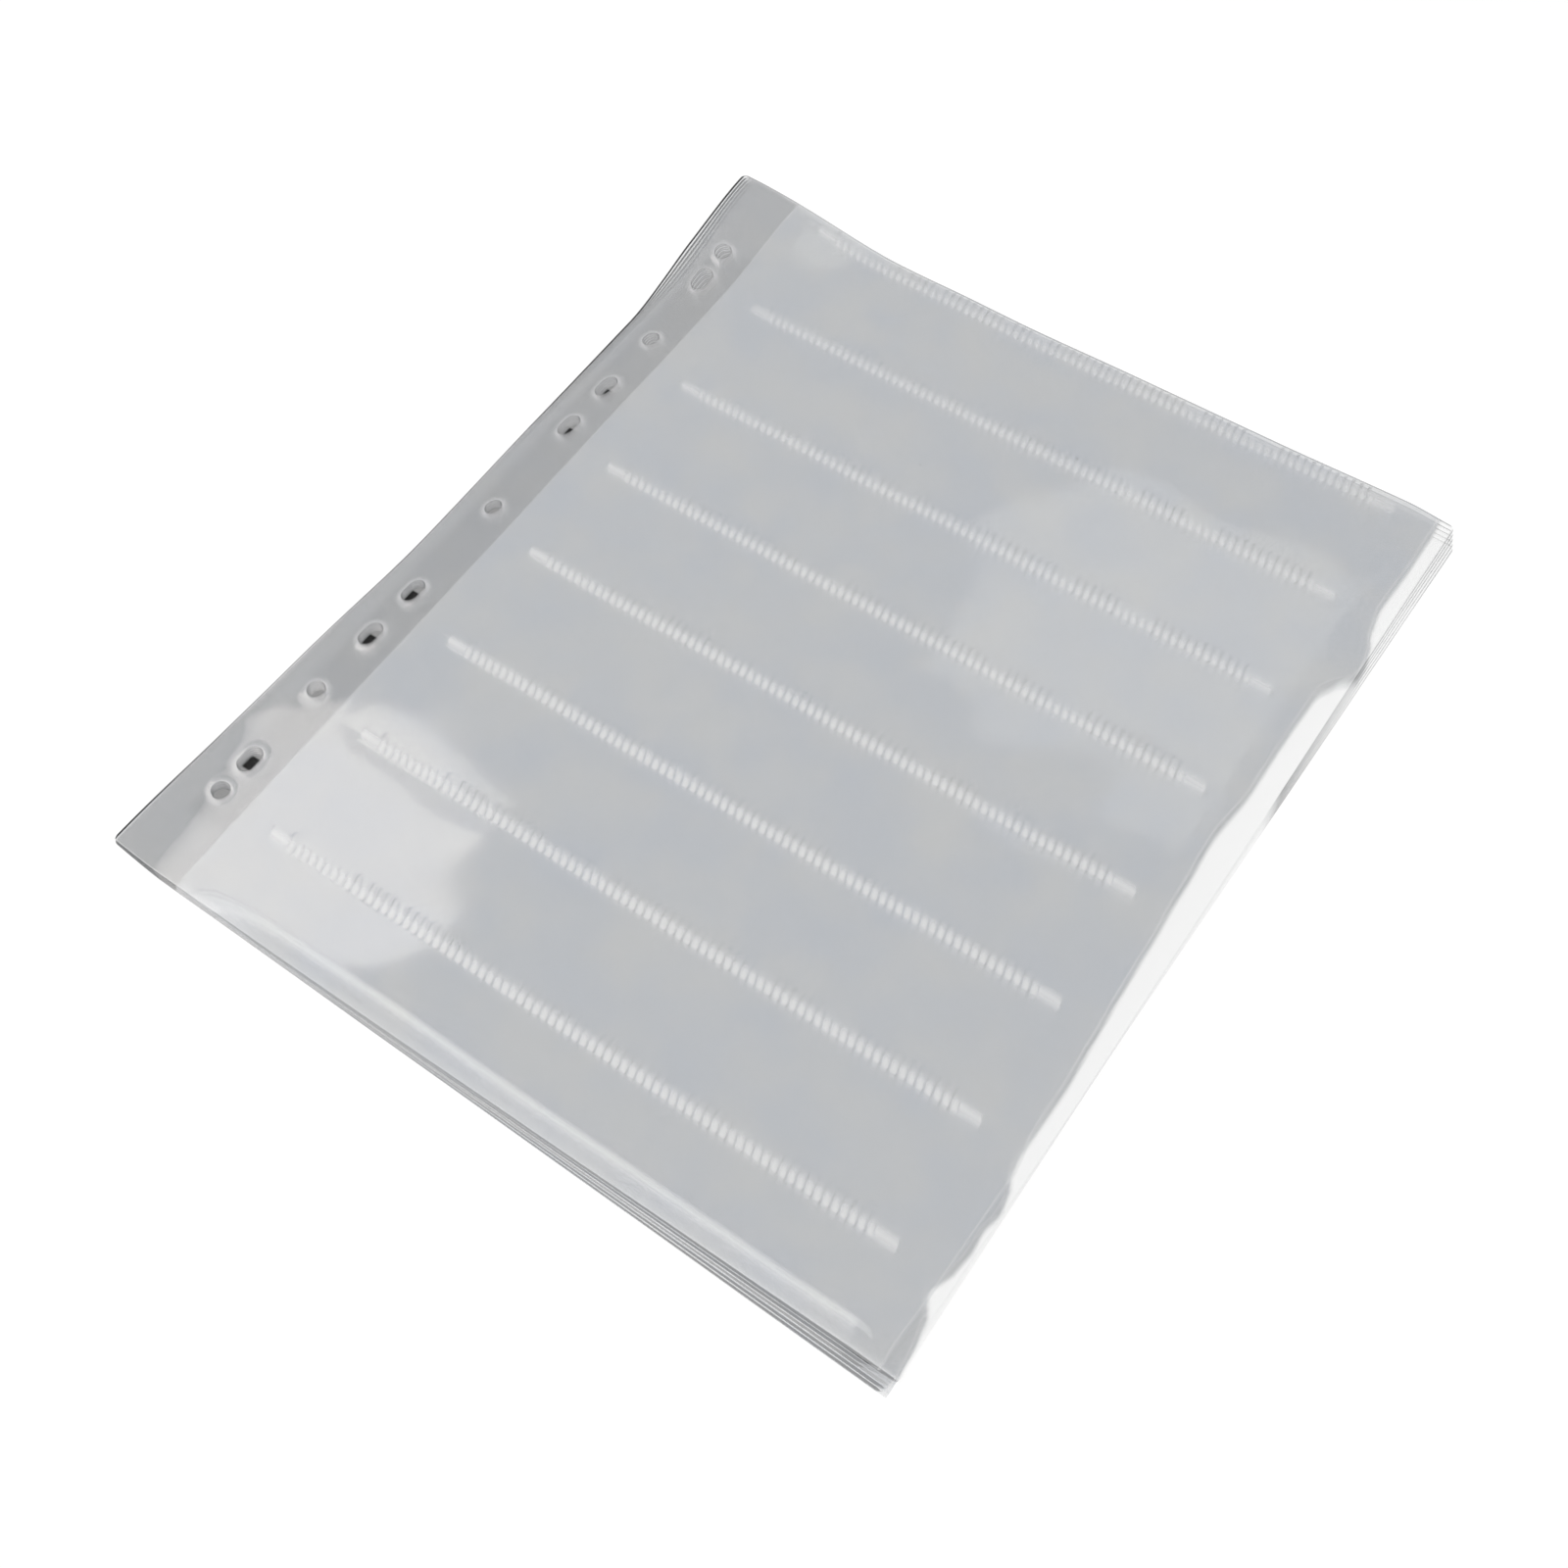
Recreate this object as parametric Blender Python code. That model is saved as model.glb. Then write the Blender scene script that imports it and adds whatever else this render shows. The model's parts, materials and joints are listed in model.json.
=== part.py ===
"""A loose stack of clear film sleeves: ring-binder sheets that hold strips of 35 mm negatives.

Each sleeve is two plies of clear film. The back film carries the punched binding margin and
stands out as a lip at the mouths. The front film is held to it by eight ribbed welds, which stand
out on its face and part the sheet into seven strip pockets and an index pocket. The frame's
origin is the middle of the stack's underside. +X runs from the punched edge to the mouths, +Y runs
up the punched edge, and +Z is up through the stack.
"""

import math

import bmesh
import bpy
from mathutils import Vector

# Driving dimensions, in metres
SLEEVES = 10
SHEET_WIDTH = 0.256
SHEET_HEIGHT = 0.298
CORNER_RADIUS = 0.0015
FILM = 0.0001
POCKET_GAP = 0.00025
SLEEVE_GAP = 0.00025
SLEEVE_PITCH = 2 * FILM + POCKET_GAP + SLEEVE_GAP

# The punched margin: round holes, and longer ones that take two ring spacings each
MARGIN = 0.022
HOLE_INSET = 0.012
HOLE_WIDTH = 0.006
LONG_HOLE = 0.009
ROUND_HOLES = (-0.120, -0.080, 0.0, 0.080, 0.120)
LONG_HOLES = (-0.108, -0.0565, -0.0375, 0.0375, 0.0565, 0.108)
ARC_STEPS = 3

# The front film and the welds that hold it to the back film
LIP = 0.005
WELDS = 8
WELD_PITCH = 0.0381
FIRST_WELD_INSET = 0.0045
WELD_WIDTH = 0.003
WELD_FROM_PUNCHED_EDGE = 0.033
WELD_FROM_LIP_EDGE = 0.0175

# The ribs that the sealing bar leaves on each weld, between two plain tabs. A plain bar that stands
# for a row of ribs is as high as they are on average
TAB = 0.0065
RIB_PITCH = 0.0026
RIB_GROOVE = 0.0006
RIB_HEIGHT = 0.0001
BAR_HEIGHT = RIB_HEIGHT / 2

# Colours of the film, and how much of it shows
BACK_TINT, FRONT_TINT = (0.40, 0.41, 0.43), (0.52, 0.53, 0.55)
BACK_ROUGHNESS, FRONT_ROUGHNESS = 0.12, 0.10
FILM_ALPHA = 0.35

# Points closer than this are one point, and a face is flat on where its normal is this near to it
SAME_POINT = FILM / 1000
FLAT_ON = 0.99

LEFT, RIGHT = -SHEET_WIDTH / 2, SHEET_WIDTH / 2
BOTTOM, TOP = -SHEET_HEIGHT / 2, SHEET_HEIGHT / 2
HOLE_X = LEFT + HOLE_INSET
FRONT_LEFT, FRONT_RIGHT = LEFT + MARGIN, RIGHT - LIP
WELD_LEFT, WELD_RIGHT = LEFT + WELD_FROM_PUNCHED_EDGE, RIGHT - WELD_FROM_LIP_EDGE
WELD_LINES = [TOP - FIRST_WELD_INSET - WELD_PITCH * number for number in range(WELDS)]
UP = Vector((0, 0, 1))


def clear_scene():
    for old in list(bpy.data.objects):
        bpy.data.objects.remove(old, do_unlink=True)


def film_material(name, colour, roughness):
    material = bpy.data.materials.new(name)
    material.use_nodes = True
    surface = material.node_tree.nodes["Principled BSDF"]
    surface.inputs["Base Color"].default_value = (*colour, 1)
    surface.inputs["Roughness"].default_value = roughness
    surface.inputs["Metallic"].default_value = 0
    surface.inputs["Alpha"].default_value = FILM_ALPHA
    return material


def arc(centre, radius, start):
    """A quarter turn of points about centre, anticlockwise from the angle start."""
    turns = [start + math.pi / 2 * step / ARC_STEPS for step in range(ARC_STEPS + 1)]
    return [
        (centre[0] + radius * math.cos(turn), centre[1] + radius * math.sin(turn))
        for turn in turns
    ]


def rounded_outline(left, right, bottom, top, radius):
    """A rectangle with round corners. Where an arc meets the next one its end is left out."""
    corners = [
        ((right - radius, bottom + radius), -math.pi / 2),
        ((right - radius, top - radius), 0),
        ((left + radius, top - radius), math.pi / 2),
        ((left + radius, bottom + radius), math.pi),
    ]
    points = []
    for centre, start in corners:
        for point in arc(centre, radius, start):
            if not points or math.dist(point, points[-1]) > SAME_POINT:
                points.append(point)
    if math.dist(points[0], points[-1]) < SAME_POINT:
        points.pop()
    return points


def hole_outline(y, length):
    half_width, half_length = HOLE_WIDTH / 2, length / 2
    return rounded_outline(
        HOLE_X - half_width, HOLE_X + half_width, y - half_length, y + half_length, half_width
    )


def back_film(name, material):
    """The whole sheet as a filled outline with the ring holes left out of it, one film thick."""
    curve = bpy.data.curves.new(name, "CURVE")
    curve.dimensions = "2D"
    curve.fill_mode = "BOTH"
    curve.extrude = FILM / 2
    outlines = [rounded_outline(LEFT, RIGHT, BOTTOM, TOP, CORNER_RADIUS)]
    outlines += [hole_outline(y, HOLE_WIDTH) for y in ROUND_HOLES]
    outlines += [hole_outline(y, LONG_HOLE) for y in LONG_HOLES]
    for outline in outlines:
        spline = curve.splines.new("POLY")
        spline.points.add(len(outline) - 1)
        for point, (x, y) in zip(spline.points, outline):
            point.co = (x, y, 0, 1)
        spline.use_cyclic_u = True
    curve.materials.append(material)
    film = bpy.data.objects.new(name, curve)
    bpy.context.scene.collection.objects.link(film)
    film.location.z = FILM / 2
    return film


def cut(mesh, faces, axis, places):
    """Scores these faces along lines at the given places on one axis, and returns all the pieces."""
    normal = Vector((1, 0, 0)) if axis == 0 else Vector((0, 1, 0))
    for place in places:
        edges = {edge for face in faces for edge in face.edges}
        points = {point for face in faces for point in face.verts}
        made = bmesh.ops.bisect_plane(
            mesh,
            geom=[*faces, *edges, *points],
            dist=SAME_POINT,
            plane_co=normal * place,
            plane_no=normal,
        )
        faces = [part for part in made["geom"] if isinstance(part, bmesh.types.BMFace)]
    return faces


def top_faces(mesh):
    return [face for face in mesh.faces if face.normal.dot(UP) > FLAT_ON]


def on_weld(x, y):
    in_line = any(abs(y - line) < WELD_WIDTH / 2 for line in WELD_LINES)
    return in_line and WELD_LEFT < x < WELD_RIGHT


def weld_edges():
    return [line + side * WELD_WIDTH / 2 for line in WELD_LINES for side in (-1, 1)]


def runs_along_x(edge):
    along = edge.verts[0].co - edge.verts[1].co
    return abs(along.x) > abs(along.y)


def weld_cells(mesh, grooves):
    """Scores the top of the film along the welds and across them at the grooves."""
    strips = cut(mesh, top_faces(mesh), 1, weld_edges())
    bands = [strip for strip in strips if on_weld(0, strip.calc_center_median().y)]
    cells = cut(mesh, bands, 0, [WELD_LEFT, *grooves, WELD_RIGHT])
    return [cell for cell in cells if on_weld(*cell.calc_center_median().xy)]


def raise_bars(mesh):
    """Raises each weld as one flat-topped bar."""
    cells = weld_cells(mesh, [])
    bmesh.ops.inset_individual(mesh, faces=cells, thickness=RIB_GROOVE / 2, depth=BAR_HEIGHT)


def raise_ribs(mesh):
    """Raises each weld as a row of ribs, each a ridge across the weld, between two flat-topped tabs."""
    first, last = WELD_LEFT + TAB, WELD_RIGHT - TAB
    ribs = round((last - first) / RIB_PITCH)
    cells = weld_cells(mesh, [first + (last - first) * number / ribs for number in range(ribs + 1)])
    bmesh.ops.inset_individual(mesh, faces=cells, thickness=RIB_GROOVE / 2, depth=RIB_HEIGHT)
    tops = [cell for cell in cells if first < cell.calc_center_median().x < last]
    ends = {edge for top in tops for edge in top.edges if runs_along_x(edge)}
    bmesh.ops.collapse(mesh, edges=list(ends))


def front_film(name, material, ribbed):
    """The film over the pockets: a thin plate with its welds raised, as ribs or as plain bars."""
    mesh = bmesh.new()
    bmesh.ops.create_cube(mesh, size=1)
    size = Vector((FRONT_RIGHT - FRONT_LEFT, SHEET_HEIGHT, FILM))
    centre = Vector(((FRONT_LEFT + FRONT_RIGHT) / 2, 0, FILM / 2))
    bmesh.ops.scale(mesh, vec=size, verts=mesh.verts)
    bmesh.ops.translate(mesh, vec=centre, verts=mesh.verts)
    if ribbed:
        raise_ribs(mesh)
    else:
        raise_bars(mesh)
    data = bpy.data.meshes.new(name)
    mesh.to_mesh(data)
    mesh.free()
    data.materials.append(material)
    film = bpy.data.objects.new(name, data)
    bpy.context.scene.collection.objects.link(film)
    film.location.z = FILM + POCKET_GAP
    return film


def sleeve(number, back_material, front_material):
    """One sleeve on an empty that stands where it lies in the stack, and lifts with it."""
    holder = bpy.data.objects.new(f"sleeve_{number:02d}", None)
    holder.empty_display_size = MARGIN
    holder.location.z = SLEEVE_PITCH * (number - 1)
    bpy.context.scene.collection.objects.link(holder)
    back = back_film(f"back_film_{number:02d}", back_material)
    front = front_film(f"front_film_{number:02d}", front_material, number == SLEEVES)
    back.parent = holder
    front.parent = holder


def main():
    clear_scene()
    back_material = film_material("clear_back_film", BACK_TINT, BACK_ROUGHNESS)
    front_material = film_material("clear_front_film", FRONT_TINT, FRONT_ROUGHNESS)
    for number in range(1, SLEEVES + 1):
        sleeve(number, back_material, front_material)


main()
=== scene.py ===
# %% [markdown]
# # A loose stack of clear film sleeves
# Ten empty ring-binder sheets for strips of 35 mm negatives lie on a pale table. Each sleeve is
# two plies of thin clear film: a back film with a punched margin, and a front film welded to it.
# A lot of clear film seen at once turns milky grey, and only the cut edges, the welds and the
# reflections give it shape. So this lesson is about thin curved sheets, and about a see-through
# finish that still looks right when twenty plies of it lie on each other.

# %% Load the frame
import json
import math

import bpy
import numpy as np
from mathutils import Matrix, Vector

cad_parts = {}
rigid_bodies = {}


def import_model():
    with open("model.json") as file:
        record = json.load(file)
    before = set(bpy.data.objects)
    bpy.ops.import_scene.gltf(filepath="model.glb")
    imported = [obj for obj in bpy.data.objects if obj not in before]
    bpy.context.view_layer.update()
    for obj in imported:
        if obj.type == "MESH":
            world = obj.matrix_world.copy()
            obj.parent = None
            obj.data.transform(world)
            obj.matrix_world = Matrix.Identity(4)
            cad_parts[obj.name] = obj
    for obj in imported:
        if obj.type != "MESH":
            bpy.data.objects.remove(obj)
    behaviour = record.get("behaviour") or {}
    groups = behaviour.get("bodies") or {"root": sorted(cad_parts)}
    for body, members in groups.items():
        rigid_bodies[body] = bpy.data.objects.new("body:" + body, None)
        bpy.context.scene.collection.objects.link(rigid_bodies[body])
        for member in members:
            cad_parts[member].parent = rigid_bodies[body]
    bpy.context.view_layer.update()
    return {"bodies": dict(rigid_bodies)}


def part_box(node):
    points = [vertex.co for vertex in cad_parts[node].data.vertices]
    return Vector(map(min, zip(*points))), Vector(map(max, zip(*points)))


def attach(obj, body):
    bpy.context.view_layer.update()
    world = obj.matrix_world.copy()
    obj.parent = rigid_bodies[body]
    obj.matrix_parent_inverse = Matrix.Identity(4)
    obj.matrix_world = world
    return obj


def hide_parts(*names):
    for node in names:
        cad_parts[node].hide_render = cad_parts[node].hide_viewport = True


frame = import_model()
scene = bpy.context.scene
scene.view_settings.view_transform = "Standard"

# %% [markdown]
# ## Camera
# The photo looks down on the stack from its front right corner, from about 60 degrees up, with the
# camera leaning a little to one side. A camera is easiest to set from where it stands, the point it
# looks at and its lean.

# %% Camera
EYE = Vector((0.1843, -0.2409, 0.4741))
AIM = Vector((0.0140, -0.0320, 0.0069))
LEAN = math.radians(-4.98)
LENS = 45.06

lens = bpy.data.cameras.new("camera")
lens.lens, lens.sensor_width = LENS, 36
camera = bpy.data.objects.new("camera", lens)
camera.location = EYE
upright = (AIM - EYE).to_track_quat("-Z", "Y").to_matrix()
camera.rotation_euler = (upright @ Matrix.Rotation(LEAN, 3, "Z")).to_euler()
scene.collection.objects.link(camera)
scene.camera = camera
print("camera", round((AIM - EYE).length, 3), "m from what it looks at")

# %% [markdown]
# ## The sheet's measures
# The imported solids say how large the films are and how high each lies. The rest are the measures of
# the holes and welds, in millimetres, because a sheet of film is easier to picture in them.

# %% Measures of one sleeve
MM = 0.001
SLEEVES = len(frame["bodies"])

back_low, back_high = (np.array(corner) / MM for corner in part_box("back_film_01"))
front_low, front_high = (np.array(corner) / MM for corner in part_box("front_film_01"))
LEFT, BOTTOM = back_low[:2].round(3)
RIGHT, TOP = back_high[:2].round(3)
FRONT_LEFT, FRONT_RIGHT = front_low[0].round(3), front_high[0].round(3)
PITCH = (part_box("back_film_02")[0][2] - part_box("back_film_01")[0][2]) / MM
FULL_HEIGHT = PITCH * (SLEEVES - 1)

HOLE_X, HOLE_RADIUS, LONG_CORE = -116.0, 2.6, 1.5
ROUND_HOLES = (-120.0, -80.0, 0.0, 80.0, 120.0)
LONG_HOLES = (-108.0, -56.5, -37.5, 37.5, 56.5, 108.0)

WELDS, FIRST_WELD, WELD_PITCH = 8, 144.5, 38.1
WELD_LINES = FIRST_WELD - WELD_PITCH * np.arange(WELDS)
WELD_LEFT, WELD_RIGHT, WELD_HALF = -95.0, 110.5, 1.5
TAB, RIBS = 6.5, 74
print("sheet", RIGHT - LEFT, "x", TOP - BOTTOM, "mm, pitch", round(PITCH, 3), "mm")

# %% [markdown]
# ## How a limp stack lies
# The solids are flat, but real film isn't. The margin has half as many plies as the rest, so it
# sags almost to the table. Its two corners curl up, the near edge rolls down and the rest is gently
# wavy. One function gives the top sheet's height and one the bottom sheet's, and each sheet between
# takes its share of the two, which keeps them in order.


# %% The resting shape
def ease(value, start, end):
    """0 before start and 1 after end, and between them the smooth step 3t^2 - 2t^3."""
    share = np.clip((value - start) / (end - start), 0, 1)
    return share * share * (3 - 2 * share)


WAVES = (  # height, waves across and along the sheet, phase
    (0.16, 0.9, 1.7, 0.4),
    (0.12, 2.2, -1.1, 2.1),
    (0.12, -1.6, 3.1, 1.2),
    (0.13, 3.7, 2.6, 4.0),
    (0.07, 5.3, -4.1, 0.7),
    (0.03, -6.2, 7.3, 2.9),
)


def film_waves(x, y):
    """A sum of plane waves: height times the sine of across*x + along*y + phase, in sheets."""
    wave = np.zeros_like(x)
    for height, across, along, phase in WAVES:
        wave += height * np.sin(
            2 * np.pi * (across * x / (RIGHT - LEFT) + along * y / (TOP - BOTTOM)) + phase
        )
    return wave


# Amounts in millimetres: what the margin keeps of the stack's height, and curls, droops and a roll
MARGIN_KEEPS = 1.3
FAR_CURL, NEAR_CURL = 6.0, 6.2
UNDER_FAR_CURL, UNDER_NEAR_CURL = 9.2, 8.4
FAR_DROOP, LIP_DROOP, NEAR_ROLL = 2.2, 1.4, 3.2
TABLE_GAP = 0.42


def stack_height(x, y):
    """Height of the top sheet: flat, less the sag of the margin and the droop of the edges, plus
    the curl of its two punched corners."""
    into_margin = ease(-x, -FRONT_LEFT - 1, -LEFT)
    along_margin = ease(y, -104, -15) * (1 - ease(y, 84, 118))
    sag = (FULL_HEIGHT - MARGIN_KEEPS) * into_margin * along_margin
    corner = np.hypot((x - LEFT) / 62, (y - TOP) / 46)
    curl = FAR_CURL * (1 - ease(corner, 0, 1))
    far_droop = FAR_DROOP * ease(y, 108, TOP) * ease(x, -110, -50) * (1 - 0.6 * ease(x, 70, 128))
    lip_droop = LIP_DROOP * ease(x, 112, 129)
    near_corner = np.hypot((x - LEFT + 10) / 24, (y - BOTTOM) / 74)
    near_curl = NEAR_CURL * (1 - ease(near_corner, 0, 1))
    return FULL_HEIGHT - sag + curl + near_curl - far_droop - lip_droop


def under_height(x, y):
    """Height of the bottom sheet, which lies on the table but for its two punched corners."""
    near_corner = np.hypot((x - LEFT + 10) / 26, (y - BOTTOM) / 76)
    far_corner = np.hypot((x - LEFT) / 60, (y - TOP) / 45)
    near_curl = UNDER_NEAR_CURL * (1 - ease(near_corner, 0, 1))
    return near_curl + UNDER_FAR_CURL * (1 - ease(far_corner, 0, 1))


def near_roll(x, y):
    """How far the top sheet's near edge rolls down: the square of the way into its last 10 mm."""
    return NEAR_ROLL * np.clip((-y - 139) / 10, 0, 1.3) ** 2 * ease(x, -128, -60)


PIVOT = np.array([-110.0, -20.0])
FAN = math.radians(-0.93)
SPREAD = np.array([1.0, 0.96, 0.74, 0.71, 0.48, 0.45, 0.25, 0.22, 0.03, 0.0])


def lay(flat, level):
    """Turns flat points by their sheet's share of the fan, about a pivot by the punched margin."""
    turn = FAN * SPREAD[level]
    spin = np.array([[math.cos(turn), math.sin(turn)], [-math.sin(turn), math.cos(turn)]])
    return (flat - PIVOT) @ spin + PIVOT


def sheet_height(x, y, level):
    """The sheet's share of the stack's height, the film's waves, which grow a little from sheet to
    sheet, and a ripple of its own that is thinner than its gap."""
    share = level / (SLEEVES - 1)
    ripple = 0.04 * np.sin(x / 23 + 1.9 * level) * np.cos(y / 31 + 1.1 * level)
    waves = (0.5 + 0.5 * share) * film_waves(x, y)
    height = share * stack_height(x, y) + (1 - share) * under_height(x, y)
    height -= share**1.5 * near_roll(x, y)
    return TABLE_GAP + height + waves + ripple * ease(x, -112, -100)


MOUTH_PLACES = np.array([
    -149, -142, -134, -127, -119, -113, -107, -101, -96, -91, -86, -76, -65, -50, -35, -20,
    0, 18, 38, 58, 74, 82, 85, 90, 95, 102, 110, 128, 149,
])
MOUTH_WANDER = np.array([
    4.2, 3.8, 2.4, -1.0, 1.6, 2.4, 2.0, 3.2, 2.4, 0.2, -0.5, -0.3, -0.2, -1.0, -1.6, -2.0,
    -3.0, -4.0, -2.3, -2.3, -2.0, 1.0, 5.0, 5.0, 3.6, 1.0, -0.3, 0.4, 0.2,
])


def mouth_edge(y, level):
    """How far the free edge wanders: through the given places by a smooth step from each to the
    next, and a small sine of its own for each sheet. At the near corner the top sheet's edge is a
    straight line."""
    gap = np.clip(np.searchsorted(MOUTH_PLACES, y) - 1, 0, len(MOUTH_PLACES) - 2)
    share = ease(y, MOUTH_PLACES[gap], MOUTH_PLACES[gap + 1])
    wander = MOUTH_WANDER[gap] * (1 - share) + MOUTH_WANDER[gap + 1] * share
    if level == SLEEVES - 1:
        straight = np.interp(y, [BOTTOM, -90], [0.1, 1.7])
        wander = straight + (wander - straight) * ease(y, -92, -76)
    return wander + 0.15 * np.sin(y / 11.3 + 4.1 * level)


corner_x, corner_y = np.array([LEFT, RIGHT, RIGHT, LEFT]), np.array([TOP, TOP, BOTTOM, BOTTOM])
corner_heights = stack_height(corner_x, corner_y)
print("heights at the corners:", corner_heights.round(1), "mm")

# %% [markdown]
# ## Putting a surface into a mesh
# A surface is one array of points and one of quads, both worked out as whole arrays. Every point
# also carries attributes for the finish: its place on the flat sheet, with a number for its sleeve,
# and its marks, which are distances to edges and how strong a painted edge line or a weld is. A
# back film also knows where its lip is.


# %% From arrays to a mesh
def grid_quads(across, along):
    """The quads of a grid of points that is stored column by column, wound so that they face up."""
    first = (np.arange(across - 1)[:, None] * along + np.arange(along - 1)).ravel()
    return np.stack([first, first + along, first + along + 1, first + 1], axis=1)


def film_piece(name, points, quads, **layers):
    """Makes the mesh with foreach_set, and its attributes, which are vectors or plain numbers.
    Points that no quad uses are left out first."""
    used, quads = np.unique(quads, return_inverse=True)
    quads, points = quads.reshape(-1, 4), points[used]
    mesh = bpy.data.meshes.new(name)
    mesh.vertices.add(len(points))
    mesh.vertices.foreach_set("co", (points * MM).astype(np.float32).ravel())
    mesh.loops.add(quads.size)
    mesh.loops.foreach_set("vertex_index", quads.astype(np.int32).ravel())
    mesh.polygons.add(len(quads))
    mesh.polygons.foreach_set("loop_start", np.arange(0, quads.size, 4, dtype=np.int32))
    mesh.update(calc_edges=True)
    mesh.polygons.foreach_set("use_smooth", np.ones(len(quads), dtype=bool))
    for label, values in layers.items():
        kind, key = ("FLOAT_VECTOR", "vector") if values.ndim == 2 else ("FLOAT", "value")
        layer = mesh.attributes.new(label, kind, "POINT")
        layer.data.foreach_set(key, values[used].astype(np.float32).ravel())
    piece = bpy.data.objects.new(name, mesh)
    scene.collection.objects.link(piece)
    return piece


def flat_place(flat, level):
    """Places on the flat sheet in metres, with a number that sets each sleeve's textures apart."""
    return np.column_stack([flat * MM, np.full(len(flat), 0.37 * level)])


def steps(*spans):
    """Places along one direction: each span is start, end and how many steps it is cut into."""
    parts = [np.linspace(start, end, count + 1)[:-1] for start, end, count in spans]
    return np.concatenate([*parts, [spans[-1][1]]])


def round_corner(flat, corner, inward, radius):
    """Carries a square corner onto a quarter disc: a goes to a*sqrt(1 - b*b/2), and b likewise."""
    share = (flat - corner) * inward / radius
    near = np.all(share < 1, axis=1)
    a, b = 1 - share[near, 0], 1 - share[near, 1]
    disc = np.column_stack([a * np.sqrt(1 - b * b / 2), b * np.sqrt(1 - a * a / 2)])
    moved = flat.copy()
    moved[near] = corner + inward * radius * (1 - disc)
    return moved


# %% [markdown]
# ## Back film
# The back film is the whole sheet. Its eleven ring holes could be cut with a boolean, but that
# leaves long thin triangles that shade badly. Here each hole takes the place of a block of the
# grid: rings of quads run from the hole's outline to the block's frame, and the innermost rings are
# raised into the little collar that a punch leaves.

# %% Lines of the back film's grid
CELL_LEFT, CELL_RIGHT = -122.0, -110.0
CELL_BREAKS = (149, 147, 128, 114.5, 99.5, 88.5, 71.5, 66, 47, 28, 9)
HOLE_CELLS = [(128, 114.5), (114.5, 99.5), (88.5, 71.5), (66, 47), (47, 28), (9, -9)]

back_x = steps(
    (LEFT, LEFT + 2, 4), (LEFT + 2, CELL_LEFT, 2), (CELL_LEFT, CELL_RIGHT, 9), (CELL_RIGHT, -96, 6),
    (-96, 110, 34), (110, 117, 4), (117, RIGHT - 2, 12), (RIGHT - 2, RIGHT, 4),
)
breaks = sorted({*CELL_BREAKS, *(-value for value in CELL_BREAKS)})
back_y = steps(*[
    (low, high, max(4, round((high - low) / 1.8)) if high - low > 2.5 else 4)
    for low, high in zip(breaks, breaks[1:])
])
print("back film grid", len(back_x), "x", len(back_y))


# %% Back film with its ring holes
CORNER_RADIUS = 2.0
RING_SHARES = np.array([0, 0.05, 0.11, 0.18, 0.28, 0.42, 0.6, 0.8])


def hole_outline(outer, centre_y, core):
    """The point of a hole's edge nearest to each outer point: a core line, plus a radius."""
    along = np.clip(outer[:, 1], centre_y - core, centre_y + core)
    middle = np.column_stack([np.full(len(outer), HOLE_X), along])
    away = outer - middle
    return middle + HOLE_RADIUS * away / np.linalg.norm(away, axis=1, keepdims=True)


def hole_distance(flat):
    """Distance from each point to the nearest hole's edge, in millimetres."""
    holes = [(y, 0.0) for y in ROUND_HOLES] + [(y, LONG_CORE) for y in LONG_HOLES]
    nearest = np.full(len(flat), 50.0)
    for centre_y, core in holes:
        along = np.clip(flat[:, 1], centre_y - core, centre_y + core)
        to_core = np.hypot(flat[:, 0] - HOLE_X, flat[:, 1] - along)
        nearest = np.minimum(nearest, to_core - HOLE_RADIUS)
    return np.maximum(nearest, 0)


def back_film_grid():
    """The flat sheet: a grid of quads in which a block round each hole gives way to rings."""
    rows = len(back_y)
    flat = np.stack(np.meshgrid(back_x, back_y, indexing="ij"), axis=-1).reshape(-1, 2)
    quads = grid_quads(len(back_x), rows)
    first, last = (int(np.argmin(abs(back_x - edge))) for edge in (CELL_LEFT, CELL_RIGHT))
    cells = {(-low, -high) for high, low in HOLE_CELLS} | {(low, high) for high, low in HOLE_CELLS}
    for low, high in sorted((min(cell), max(cell)) for cell in cells):
        start, end = (int(np.argmin(abs(back_y - edge))) for edge in (low, high))
        column, row = quads[:, 0] // rows, quads[:, 0] % rows
        inside = (column >= first) & (column < last) & (row >= start) & (row < end)
        quads = quads[~inside]
        frame_loop = np.concatenate([
            np.arange(first, last) * rows + start,
            last * rows + np.arange(start, end),
            np.arange(last, first, -1) * rows + end,
            first * rows + np.arange(end, start, -1),
        ])
        centre_y = min(ROUND_HOLES + LONG_HOLES, key=lambda y: abs(y - (low + high) / 2))
        core = LONG_CORE if centre_y in LONG_HOLES else 0
        outline = hole_outline(flat[frame_loop], centre_y, core)
        rings = outline + RING_SHARES[:, None, None] * (flat[frame_loop] - outline)
        count = len(frame_loop)
        index = len(flat) + np.arange(rings.shape[0] * count).reshape(-1, count)
        index = np.vstack([index, frame_loop])
        inner, outer = index[:-1], index[1:]
        ring_quads = np.stack([inner, outer, np.roll(outer, -1, 1), np.roll(inner, -1, 1)], axis=-1)
        flat = np.vstack([flat, rings.reshape(-1, 2)])
        quads = np.vstack([quads, ring_quads.reshape(-1, 4)])
    for corner in ((LEFT, BOTTOM), (LEFT, TOP), (RIGHT, BOTTOM), (RIGHT, TOP)):
        inward = -np.sign(corner)
        flat = round_corner(flat, np.array(corner), inward, CORNER_RADIUS)
    return flat, quads


back_flat, back_quads = back_film_grid()
back_rim = hole_distance(back_flat)
to_edges = np.column_stack([
    back_flat[:, 0] - LEFT, RIGHT - back_flat[:, 0],
    back_flat[:, 1] - BOTTOM, TOP - back_flat[:, 1],
])
back_inset = to_edges.min(axis=1)


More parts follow.
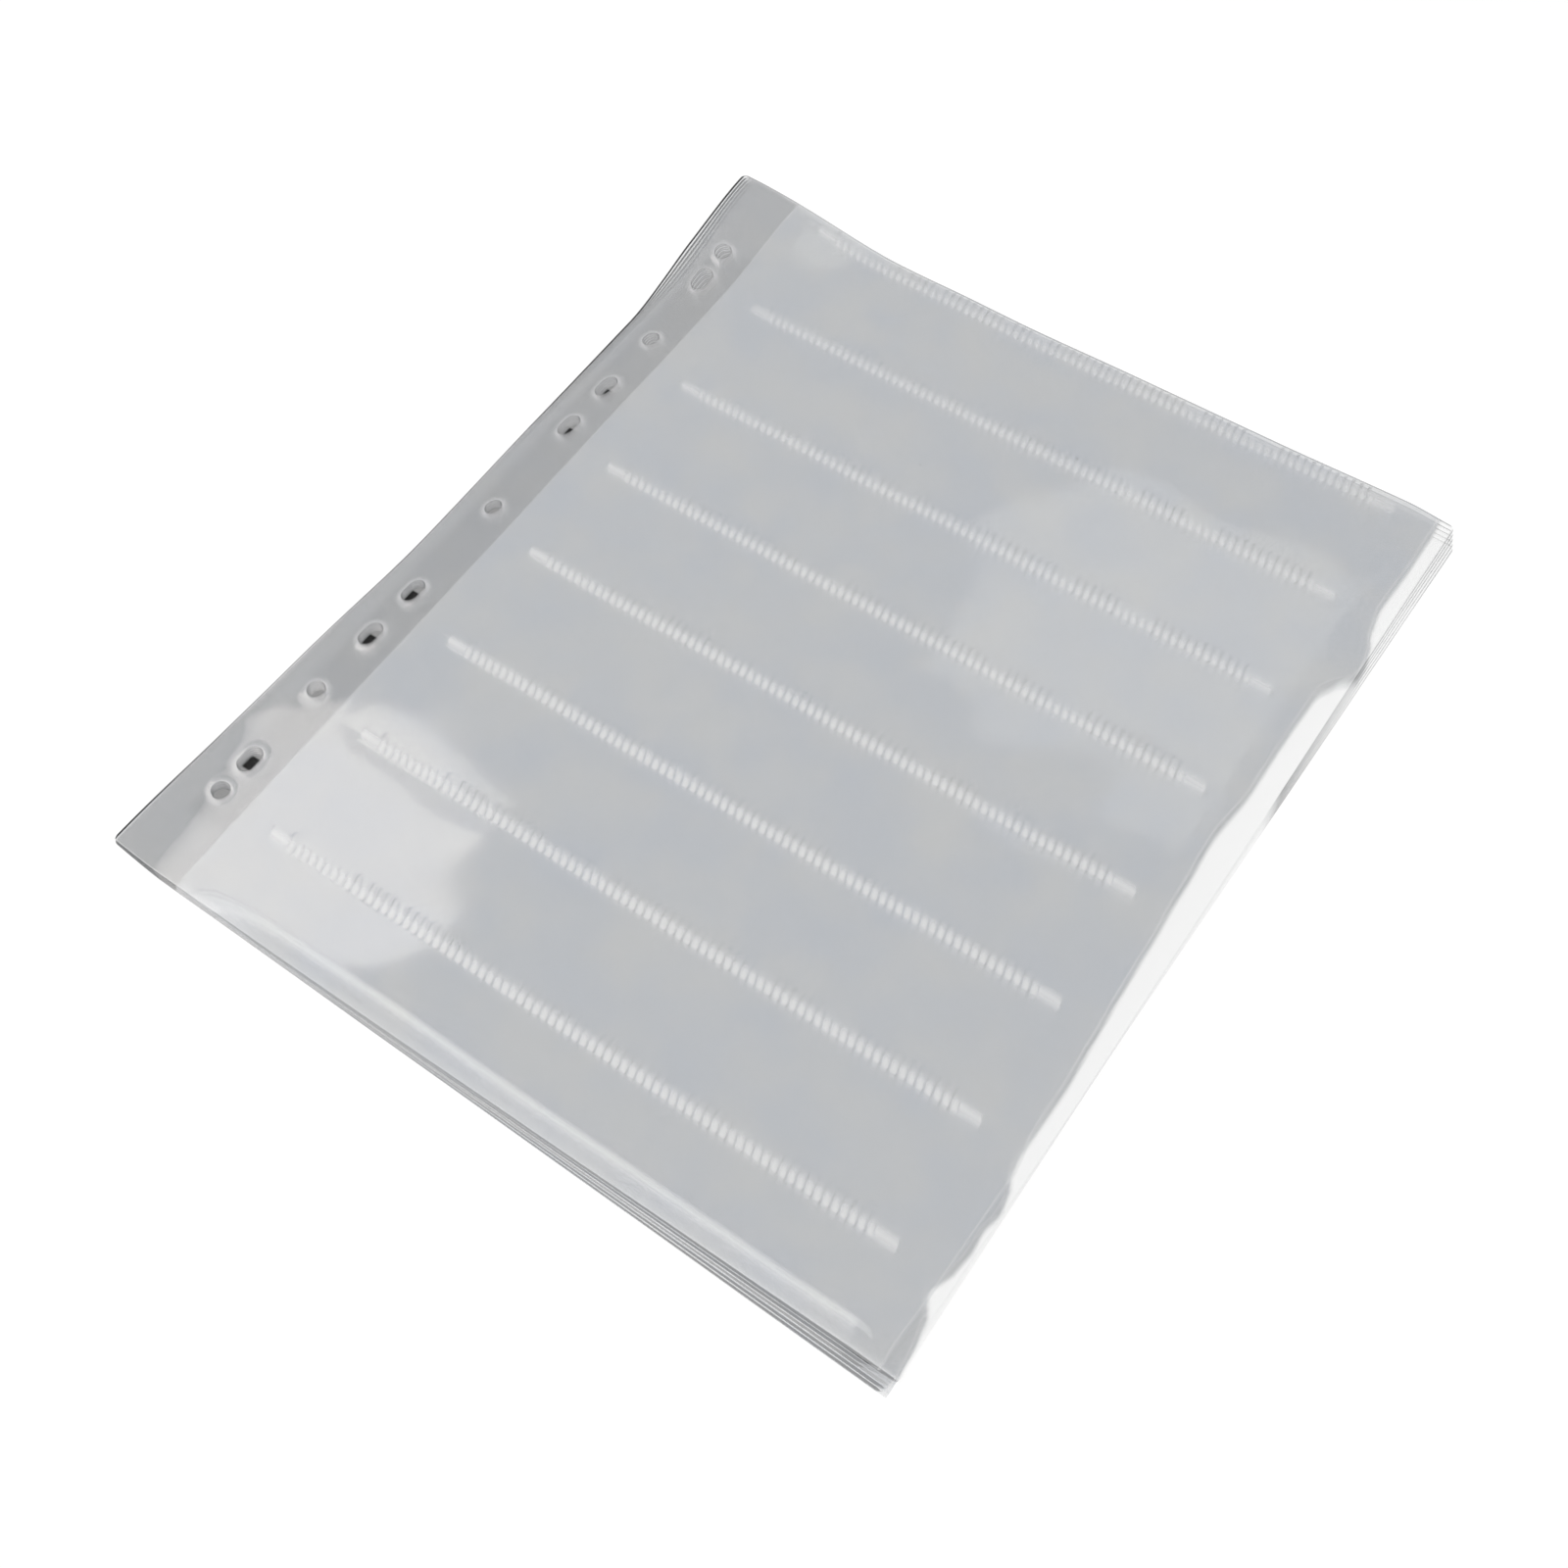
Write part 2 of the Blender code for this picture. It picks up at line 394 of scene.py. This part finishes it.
def painted_edge_strength():
    """How strong the painted shade and highlight lines along the nearest cut edge are: more or less
    along each edge, as the edges of the stack lie more or less in line."""
    along = back_flat[:, 1]
    punched = np.interp(along, [-149, -120, 20, 90, 149], [1.0, 0.8, 0.7, 1.5, 1.9])
    lip = np.interp(
        along, [0, 30, 42, 65, 88, 108, 120, 149], [0.1, 0.2, 0.8, 0.7, 0.6, 0.6, 0.6, 0.7]
    )
    near = np.interp(back_flat[:, 0], [-128, -100, -20, 60, 128], [0.7, 0.7, 0.8, 1.0, 1.9])
    far = np.full(len(along), 0.8)
    choices = np.column_stack([punched, lip, near, far])
    return np.take_along_axis(choices, to_edges.argmin(axis=1)[:, None], axis=1)[:, 0]


back_painted_strength = painted_edge_strength()


def back_film(level):
    """One back film: the flat grid fanned, raised to its height, with a collar round each hole."""
    x, y = lay(back_flat, level).T
    collar = (0.12 + 0.02 * level) * np.exp(-(((back_rim - 0.5) / 1.1) ** 2))
    z = sheet_height(x, y, level) + collar
    # The third mark is how strong the painted edge lines are, much weaker on every other sheet.
    marks = np.column_stack([back_inset, back_rim, back_painted_strength * (1.0 if level % 2 else 0.15)])
    lip = ease(x - FRONT_RIGHT - mouth_edge(y, 0), -0.2, 1.0)
    return film_piece(
        f"back_sheet_{level + 1:02d}", np.column_stack([x, y, z]), back_quads,
        flat_place=flat_place(back_flat, level), marks=marks, lip=lip,
    )


back_films = [back_film(level) for level in range(SLEEVES)]
print("back film:", len(back_films[0].data.polygons), "quads each")

# %% [markdown]
# ## Front film
# The front film covers the pockets. It is pressed down along its seams and its eight welds, swells
# a little over each pocket, and is free at the mouths, where its edge wanders. A sealing bar with
# teeth leaves each weld as a row of small slanting ribs between two plain tabs. The grid's lines
# are set to the ribs, a few for each, so that the ribs are real shape and not only shading.

# %% Lines of the front film's grid
first_rib, last_rib = WELD_LEFT + TAB, WELD_RIGHT - TAB
RIB_PITCH = (last_rib - first_rib) / RIBS
rib_lines = np.array([0, 0.09, 0.22, 0.5, 0.78, 0.91])
front_x = np.concatenate([
    steps((FRONT_LEFT, FRONT_LEFT + 2, 4), (FRONT_LEFT + 2, WELD_LEFT - 0.5, 5))[:-1],
    steps((WELD_LEFT - 0.5, WELD_LEFT + 0.5, 3), (WELD_LEFT + 0.5, first_rib, 4))[:-1],
    (first_rib + RIB_PITCH * (np.arange(RIBS)[:, None] + rib_lines)).ravel(),
    steps((last_rib, WELD_RIGHT - 0.5, 4), (WELD_RIGHT - 0.5, WELD_RIGHT + 0.5, 3))[:-1],
    steps((WELD_RIGHT + 0.5, FRONT_RIGHT - 1.5, 8), (FRONT_RIGHT - 1.5, FRONT_RIGHT, 4)),
])
across_weld = np.array([-2.6, -2.2, -1.85, -1.5, -0.8, 0.0, 0.8, 1.7, 2.6, 3.5, 4.1])
weld_rows = (WELD_LINES[:, None] + across_weld).ravel()
between = np.concatenate([
    np.linspace(high - 2.6, low + 4.1, 9)[1:-1] for high, low in zip(WELD_LINES, WELD_LINES[1:])
])
near_rows = steps((BOTTOM, BOTTOM + 2, 4), (BOTTOM + 2, -126.5, 7))
ends = np.concatenate([[TOP, TOP - 0.5, TOP - 1.2], near_rows])
front_y = np.unique(np.concatenate([weld_rows, between, ends]).round(4))
print("front film grid", len(front_x), "x", len(front_y))


# %% Front film with its ribbed welds
SLANT = -0.36


def weld_relief(flat):
    """How high a weld stands, from 0 to 1. A rib is 1 - |2s - 1|^3 across, and along it a steep
    step on the near side and a slow one on the far side. A tab is 0.72 + 0.2 cos(3 pi d) between
    two steeper steps. s is the place in a rib's pitch, and d the distance from the weld's line in
    half widths."""
    away = flat[:, 1:] - WELD_LINES
    line = np.argmin(abs(away), axis=1)
    d = np.take_along_axis(away, line[:, None], axis=1)[:, 0] / WELD_HALF
    near_side = ease(d, -1.45, -1.1)
    s = ((flat[:, 0] - first_rib) / RIB_PITCH) % 1
    rib = (1 - abs(2 * s - 1) ** 3) * (1 - ease(d, -0.1, 2.6))
    tab = (0.72 + 0.2 * np.cos(2 * np.pi * 1.5 * d)) * (1 - ease(d, 0.9, 1.7))
    ribbed = (flat[:, 0] > first_rib) & (flat[:, 0] < last_rib)
    on_line = ease(flat[:, 0], WELD_LEFT - 0.4, WELD_LEFT + 0.4) * (
        1 - ease(flat[:, 0], WELD_RIGHT - 0.4, WELD_RIGHT + 0.4)
    )
    return near_side * np.where(ribbed, rib, tab) * on_line, d * WELD_HALF


def pocket_swell(flat):
    """0 where the film is sealed and 1 in the middle of a pocket: 1 - |2f - 1|^6 across the pocket,
    let go beyond the welds' ends, and drawn down again along the three seams."""
    x, y = flat.T
    f = ((FIRST_WELD - y) / WELD_PITCH) % 1
    held = 1 - abs(2 * f - 1) ** 6
    before, beyond = ease(x, WELD_LEFT - 9, WELD_LEFT + 1), ease(x, WELD_RIGHT - 1, WELD_RIGHT + 9)
    free = np.maximum(1 - before, beyond)
    swell = held + (1 - held) * free
    seams = ease(x, FRONT_LEFT + 1, FRONT_LEFT + 7) * ease(y, BOTTOM + 1, BOTTOM + 8)
    return swell * seams * ease(-y, -TOP + 1, -TOP + 6)


front_flat = np.stack(np.meshgrid(front_x, front_y, indexing="ij"), axis=-1).reshape(-1, 2)
front_quads = grid_quads(len(front_x), len(front_y))
relief, from_line = weld_relief(front_flat)
swell = pocket_swell(front_flat)
front_seam = np.minimum(front_flat[:, 1] - BOTTOM, TOP - front_flat[:, 1])
front_cut = FRONT_RIGHT - front_flat[:, 0]
weld_milk = 0.75 + 0.25 * ease(-front_flat[:, 1], -120, 60)


def front_film(level):
    """One front film: its ribs slanted, its mouth edge moved, and raised over its own back film."""
    slanted = front_flat.copy()
    slanted[:, 0] += SLANT * from_line * (relief > 0)
    fanned = lay(front_flat, level)
    fan_shift = (fanned - front_flat)[:, 0]
    at_mouth = ease(front_flat[:, 0], 112, FRONT_RIGHT)
    slanted[:, 0] -= fan_shift * (1 - ease(abs(from_line), 4.2, 9)) * (1 - at_mouth)
    slanted[:, 0] += (mouth_edge(fanned[:, 1], level) - fan_shift) * at_mouth
    x, y = lay(slanted, level).T
    lift = 0.1 + 0.3 * swell + 0.16 * relief
    flutter = 0.5 + 0.5 * np.sin(y / 6.1 + 1.3 * np.sin(y / 17 + level))
    top_share = 1.3 if level == SLEEVES - 1 else 0.12
    lift += top_share * flutter * ease(front_flat[:, 0], 108, FRONT_RIGHT + 1)
    z = sheet_height(x, y, level) + lift
    marks = np.column_stack([front_cut, relief * weld_milk, front_seam])
    return film_piece(
        f"front_sheet_{level + 1:02d}", np.column_stack([x, y, z]), front_quads,
        flat_place=flat_place(front_flat, level), marks=marks,
    )


front_films = [front_film(level) for level in range(SLEEVES)]
print("front film:", len(front_films[0].data.polygons), "quads each")

# %% [markdown]
# ## Finishes
# Clear film shows three things: a faint milky haze that adds up ply by ply, gloss, and lines of
# light and dark along its cut edges. Those lines are painted into the colour here, as a painted
# highlight and a painted shade. Glass shaders on twenty plies would be slow and noisy, so each ply
# is a Principled surface with a low alpha: its colour is the haze, its gloss stays, and the rest of
# the light goes straight through. What both films share is made once, as node groups.


# %% Helpers for nodes
def new_group(name, inputs, outputs):
    """An empty shader node group with named sockets, and its two ends."""
    tree = bpy.data.node_groups.new(name, "ShaderNodeTree")
    for label, kind, value in inputs:
        socket = tree.interface.new_socket(label, in_out="INPUT", socket_type=f"NodeSocket{kind}")
        if value is not None:
            socket.default_value = value
    for label, kind in outputs:
        tree.interface.new_socket(label, in_out="OUTPUT", socket_type=f"NodeSocket{kind}")
    return tree, tree.nodes.new("NodeGroupInput"), tree.nodes.new("NodeGroupOutput")


def put(tree, socket, value):
    """Sets a socket to a plain value, or links it where the value is another node's socket."""
    if isinstance(value, bpy.types.NodeSocket):
        tree.links.new(value, socket)
    else:
        socket.default_value = value


def reckon(tree, operation, first, second=0.0):
    """A Math node's result."""
    node = tree.nodes.new("ShaderNodeMath")
    node.operation = operation
    put(tree, node.inputs[0], first)
    put(tree, node.inputs[1], second)
    return node.outputs[0]


def product(tree, first, *others):
    """The result of Math nodes that multiply all these values."""
    for other in others:
        first = reckon(tree, "MULTIPLY", first, other)
    return first


def fade(tree, value, start, end, low=0.0, high=1.0):
    """A Map Range node's smooth result: low at start and high at end."""
    node = tree.nodes.new("ShaderNodeMapRange")
    node.interpolation_type = "SMOOTHSTEP"
    labels = ("Value", "From Min", "From Max", "To Min", "To Max")
    for label, setting in zip(labels, (value, start, end, low, high)):
        put(tree, node.inputs[label], setting)
    return node.outputs["Result"]


def blend(tree, share, first, second, kind="MIX"):
    """A Mix node's colour: from first, where share is 0, to second or to both multiplied."""
    node = tree.nodes.new("ShaderNodeMix")
    node.data_type, node.blend_type = "RGBA", kind
    sockets = [socket for socket in node.inputs if socket.enabled]
    for socket, value in zip(sockets, (share, first, second)):
        put(tree, socket, value)
    return next(socket for socket in node.outputs if socket.enabled)


# %% Shared effects
def painted_cut_lines_group():
    """Painted lines for a cut edge: a painted shade line along it and a painted highlight line just
    inside it.
    """
    tree, ends_in, ends_out = new_group(
        "painted_cut_lines",
        [("Distance", "Float", 1.0), ("Width", "Float", 0.4)],
        [("Dark", "Float"), ("Light", "Float")],
    )
    share = reckon(tree, "DIVIDE", ends_in.outputs["Distance"], ends_in.outputs["Width"])
    painted_shade_line = fade(tree, share, 0.7, 1.2, 1.0, 0.0)
    light = product(tree, fade(tree, share, 0.9, 1.3), fade(tree, share, 1.4, 2.1, 1.0, 0.0))
    tree.links.new(painted_shade_line, ends_out.inputs["Dark"])
    tree.links.new(light, ends_out.inputs["Light"])
    return tree


def film_cloud_group():
    """Slow clouds over the sheet: a faint blue and cream tint, and a change in the gloss."""
    tree, ends_in, ends_out = new_group(
        "film_cloud", [("Place", "Vector", None)], [("Tint", "Color"), ("Roughness", "Float")]
    )
    noise = tree.nodes.new("ShaderNodeTexNoise")
    noise.inputs["Scale"].default_value = 42
    noise.inputs["Detail"].default_value = 2
    tree.links.new(ends_in.outputs["Place"], noise.inputs["Vector"])
    cloud = noise.outputs["Fac"]
    blue, cream = (0.87, 0.925, 0.995, 1), (1.06, 1.05, 1.0, 1)
    tint = blend(tree, fade(tree, cloud, 0.35, 0.65), blue, cream)
    tree.links.new(tint, ends_out.inputs["Tint"])
    tree.links.new(fade(tree, cloud, 0.3, 0.7, 0.05, 0.09), ends_out.inputs["Roughness"])
    return tree


def dust_group():
    """Here and there a speck: the middle of those few Voronoi cells whose random colour is high."""
    tree, ends_in, ends_out = new_group("dust", [("Place", "Vector", None)], [("Speck", "Float")])
    cells = tree.nodes.new("ShaderNodeTexVoronoi")
    cells.inputs["Scale"].default_value = 75
    tree.links.new(ends_in.outputs["Place"], cells.inputs["Vector"])
    pick = tree.nodes.new("ShaderNodeSeparateColor")
    tree.links.new(cells.outputs["Color"], pick.inputs[0])
    few = reckon(tree, "GREATER_THAN", pick.outputs["Red"], 0.8)
    near = fade(tree, cells.outputs["Distance"], 0.018, 0.032, 1.0, 0.0)
    tree.links.new(product(tree, few, near), ends_out.inputs["Speck"])
    return tree


painted_cut_lines, film_cloud, dust = painted_cut_lines_group(), film_cloud_group(), dust_group()
print("node groups:", [group.name for group in bpy.data.node_groups])


# %% Film materials
def effect(tree, group, **inputs):
    """Places a node group in a material, with its inputs set or linked, and gives its outputs."""
    node = tree.nodes.new("ShaderNodeGroup")
    node.node_tree = group
    for label, value in inputs.items():
        put(tree, node.inputs[label], value)
    return node.outputs


def attribute(tree, name, output="Vector"):
    """A point attribute, as a vector or by another of the node's outputs."""
    node = tree.nodes.new("ShaderNodeAttribute")
    node.attribute_name = name
    return node.outputs[output]


def numbers(tree, vector):
    """The three numbers of a vector."""
    split = tree.nodes.new("ShaderNodeSeparateXYZ")
    tree.links.new(vector, split.inputs[0])
    return split.outputs


FILM_IOR, FILM_SPECULAR = 2.3, 1.0
HAZE, LIP_HAZE, MILKY_HAZE = 0.24, 0.12, 0.5
BACK_GREY, FRONT_GREY = (0.20, 0.207, 0.217, 1), (0.465, 0.482, 0.512, 1)
LIP_WHITE, MILK = (0.87, 0.875, 0.875, 1), (0.70, 0.705, 0.71, 1)
# Colours of the painted highlight and painted shade lines, and of the real dust specks.
PAINTED_EDGE_HIGHLIGHT, PAINTED_EDGE_SHADE = (0.7, 0.7, 0.71, 1), (0.06, 0.063, 0.066, 1)
PAINTED_MOUTH_HIGHLIGHT, SPECK_DARK = (0.7, 0.7, 0.7, 1), (0.08, 0.08, 0.08, 1)


def start_film(name):
    """A new film material, and its Principled surface with the gloss of smooth film."""
    material = bpy.data.materials.new(name)
    material.use_nodes = True
    surface = material.node_tree.nodes["Principled BSDF"]
    surface.inputs["IOR"].default_value = FILM_IOR
    surface.inputs["Specular IOR Level"].default_value = FILM_SPECULAR
    return material, material.node_tree, surface


def back_film_material():
    """Haze that is greyer than the front film's, clear along the lip, with painted shade and
    highlight lines at edges and holes and a painted highlight ring round each hole."""
    material, tree, surface = start_film("clear_back_film")
    inset, rim, strength = numbers(tree, attribute(tree, "marks"))
    lip = attribute(tree, "lip", "Fac")
    cloud = effect(tree, film_cloud, Place=attribute(tree, "flat_place"))
    tree.links.new(cloud["Roughness"], surface.inputs["Roughness"])
    colour = blend(tree, 1.0, BACK_GREY, cloud["Tint"], "MULTIPLY")
    colour = blend(tree, lip, colour, LIP_WHITE)
    wide = reckon(tree, "ADD", product(tree, strength, 0.28), 0.2)
    edge = effect(tree, painted_cut_lines, Distance=inset, Width=wide)
    hole = effect(tree, painted_cut_lines, Distance=rim, Width=0.22)
    # Painted highlight: a paler ring round each hole, joined with the painted highlight lines.
    collar = fade(tree, rim, 0.4, 2.6, 0.5, 0.0)
    light = reckon(tree, "MAXIMUM", edge["Light"], product(tree, hole["Light"], 0.7))
    light = reckon(tree, "MAXIMUM", light, collar)
    # Painted shade: dark lines along the cut edges and round the hole rims.
    outer = reckon(tree, "MINIMUM", product(tree, edge["Dark"], strength), 1.0)
    painted_shade_line = reckon(tree, "MAXIMUM", outer, product(tree, hole["Dark"], 0.7))
    colour = blend(tree, light, colour, PAINTED_EDGE_HIGHLIGHT)
    colour = blend(tree, painted_shade_line, colour, PAINTED_EDGE_SHADE)
    tree.links.new(colour, surface.inputs["Base Color"])
    # The painted shade lines also feed Metallic, so they reflect as darkly as they are coloured.
    tree.links.new(painted_shade_line, surface.inputs["Metallic"])
    haze = fade(tree, lip, 0, 1, HAZE, LIP_HAZE)
    line = reckon(tree, "MAXIMUM", product(tree, light, 0.14), product(tree, painted_shade_line, 0.72))
    tree.links.new(reckon(tree, "ADD", haze, line), surface.inputs["Alpha"])
    return material


def front_film_material():
    """Milky haze, denser on the ribs and along the seams, with a painted highlight line along the
    mouth edge, and dust.
    """
    material, tree, surface = start_film("clear_front_film")
    place = attribute(tree, "flat_place")
    across = numbers(tree, place)["X"]
    cut, rib, seam = numbers(tree, attribute(tree, "marks"))
    cloud = effect(tree, film_cloud, Place=place)
    colour = blend(tree, 1.0, FRONT_GREY, cloud["Tint"], "MULTIPLY")
    band = fade(tree, seam, 1.2, 2.8, 0.5, 0.0)
    side = fade(tree, across, -0.1057, -0.1052, 0.4, 0.0)
    milky = reckon(tree, "MAXIMUM", rib, reckon(tree, "MAXIMUM", band, side))
    rough = reckon(tree, "ADD", cloud["Roughness"], product(tree, milky, 0.3))
    tree.links.new(rough, surface.inputs["Roughness"])
    colour = blend(tree, milky, colour, MILK)
    # Painted highlight: a light line just inside the front film's mouth edge.
    edge = effect(tree, painted_cut_lines, Distance=cut, Width=0.42)
    colour = blend(tree, edge["Light"], colour, PAINTED_MOUTH_HIGHLIGHT)
    speck = effect(tree, dust, Place=place)["Speck"]
    colour = blend(tree, speck, colour, SPECK_DARK)
    tree.links.new(colour, surface.inputs["Base Color"])
    haze = fade(tree, milky, 0, 1, HAZE, MILKY_HAZE)
    line = reckon(tree, "MAXIMUM", product(tree, edge["Light"], 0.15), product(tree, speck, 0.5))
    tree.links.new(reckon(tree, "ADD", haze, line), surface.inputs["Alpha"])
    return material


back_finish, front_finish = back_film_material(), front_film_material()
for films, finish in ((back_films, back_finish), (front_films, front_finish)):
    for film in films:
        film.data.materials.append(finish)
        film.visible_shadow = film in back_films[6::3]
        film.visible_diffuse = film.visible_glossy = False
print("materials:", back_finish.name, front_finish.name)

# %% [markdown]
# ## Which sleeve each film moves with
# Both films of a sleeve ride on that sleeve's body and stand for its two solids.

# %% Riding on the bodies
for level in range(SLEEVES):
    number = f"{level + 1:02d}"
    back, front = back_films[level], front_films[level]
    for piece, kind in ((back, "back_film"), (front, "front_film")):
        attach(piece, f"sleeve_{number}")
        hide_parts(f"{kind}_{number}")
print("declared", 2 * SLEEVES, "sheets")

# %% [markdown]
# ## Table and light
# A white table and soft light from all round show the film plainly. Two soft boxes stand where the
# near left corner and the near edge mirror them, a small one stands far off, and one overhead is
# kept out of the reflections. Under the ring holes the table's colour carries a painted shade:
# near black under five of the long holes and grey elsewhere under the margin, as far as an
# ambient occlusion node finds the stack above it.

# %% Table
table_mesh = bpy.data.meshes.new("table")
table_mesh.from_pydata([(-4, -4, 0), (4, -4, 0), (4, 4, 0), (-4, 4, 0)], [], [(0, 1, 2, 3)])
table = bpy.data.objects.new("table", table_mesh)
scene.collection.objects.link(table)
table_finish = bpy.data.materials.new("pale_table")
table_finish.use_nodes = True
table_tree = table_finish.node_tree
table_surface = table_tree.nodes["Principled BSDF"]
table_surface.inputs["Roughness"].default_value = 0.9
table_surface.inputs["Specular IOR Level"].default_value = 0.0
openness = table_tree.nodes.new("ShaderNodeAmbientOcclusion")
openness.samples = 6
openness.inputs["Distance"].default_value = 0.012
open_share = openness.outputs["AO"]

# %% Painted shade under the ring holes
SHADE_X, PAIR_Y, PAIR_HALF, NEAR_LONG_Y = -0.117, 0.047, 0.0095, -0.107
TABLE_WHITE, SHADE_GREY, SHADE_DARK = (1, 1, 1, 1), (0.3, 0.3, 0.3, 1), (0.02, 0.02, 0.02, 1)


def away(value, place):
    """How far a number is from a place, by Math nodes in the table's material."""
    return reckon(table_tree, "ABSOLUTE", reckon(table_tree, "SUBTRACT", value, place))


table_place = table_tree.nodes.new("ShaderNodeTexCoord").outputs["Object"]
spot_x, spot_y, _ = numbers(table_tree, table_place)
from_middle = away(spot_y, 0)
from_pair = away(away(from_middle, PAIR_Y), PAIR_HALF)
from_long_hole = reckon(table_tree, "MINIMUM", from_pair, away(spot_y, NEAR_LONG_Y))
# Painted shade: near black on the table under five of the long holes, grey elsewhere under the
# margin.
long_hole = fade(table_tree, from_long_hole, 0.0018, 0.0026, 1.0, 0.0)
shade = blend(table_tree, long_hole, SHADE_GREY, SHADE_DARK)
# Where the painted shade goes: under the margin strip, and only where ambient occlusion finds the
# stack close above.
painted_shade_share = product(
    table_tree,
    fade(table_tree, away(spot_x, SHADE_X), 0.005, 0.009, 1.0, 0.0),
    fade(table_tree, from_middle, 0.126, 0.13, 1.0, 0.0),
    fade(table_tree, open_share, 0.65, 0.95, 1.0, 0.0),
)
table_colour = blend(table_tree, painted_shade_share, TABLE_WHITE, shade)
table_tree.links.new(table_colour, table_surface.inputs["Base Color"])
table_mesh.materials.append(table_finish)
print("table material:", len(table_tree.nodes), "nodes")


# %% Light
def soft_box(name, place, size, power, colour=(1, 1, 1)):
    """A rectangular lamp at a place, facing straight down."""
    lamp = bpy.data.lights.new(name, "AREA")
    lamp.shape = "RECTANGLE"
    lamp.size, lamp.size_y, lamp.energy, lamp.color = *size, power, colour
    holder = bpy.data.objects.new(name, lamp)
    holder.location = place
    scene.collection.objects.link(holder)
    return holder


soft_box("corner_soft_box", (-0.79, -0.037, 0.9), (0.62, 0.545), 0.65, (1, 0.94, 0.9))
soft_box("far_soft_box", (-0.11, 0.68, 0.9), (0.34, 0.34), 0.055)
soft_box("near_strip", (-0.39, -0.47, 0.9), (0.78, 0.26), 0.58, (1, 0.97, 0.94))
overhead = soft_box("overhead_soft_box", (0.3, -0.3, 2.2), (2.0, 2.0), 8)
overhead.visible_glossy = False

world = bpy.data.worlds.new("studio")
scene.world = world
world.use_nodes = True
sky = world.node_tree.nodes["Background"]
sky.inputs["Color"].default_value = (1, 1, 1, 1)
sky.inputs["Strength"].default_value = 0.85
scene.cycles.transparent_max_bounces = 64
scene.cycles.max_bounces = 4
scene.cycles.diffuse_bounces = 2
print("lamps:", [lamp.name for lamp in bpy.data.lights])
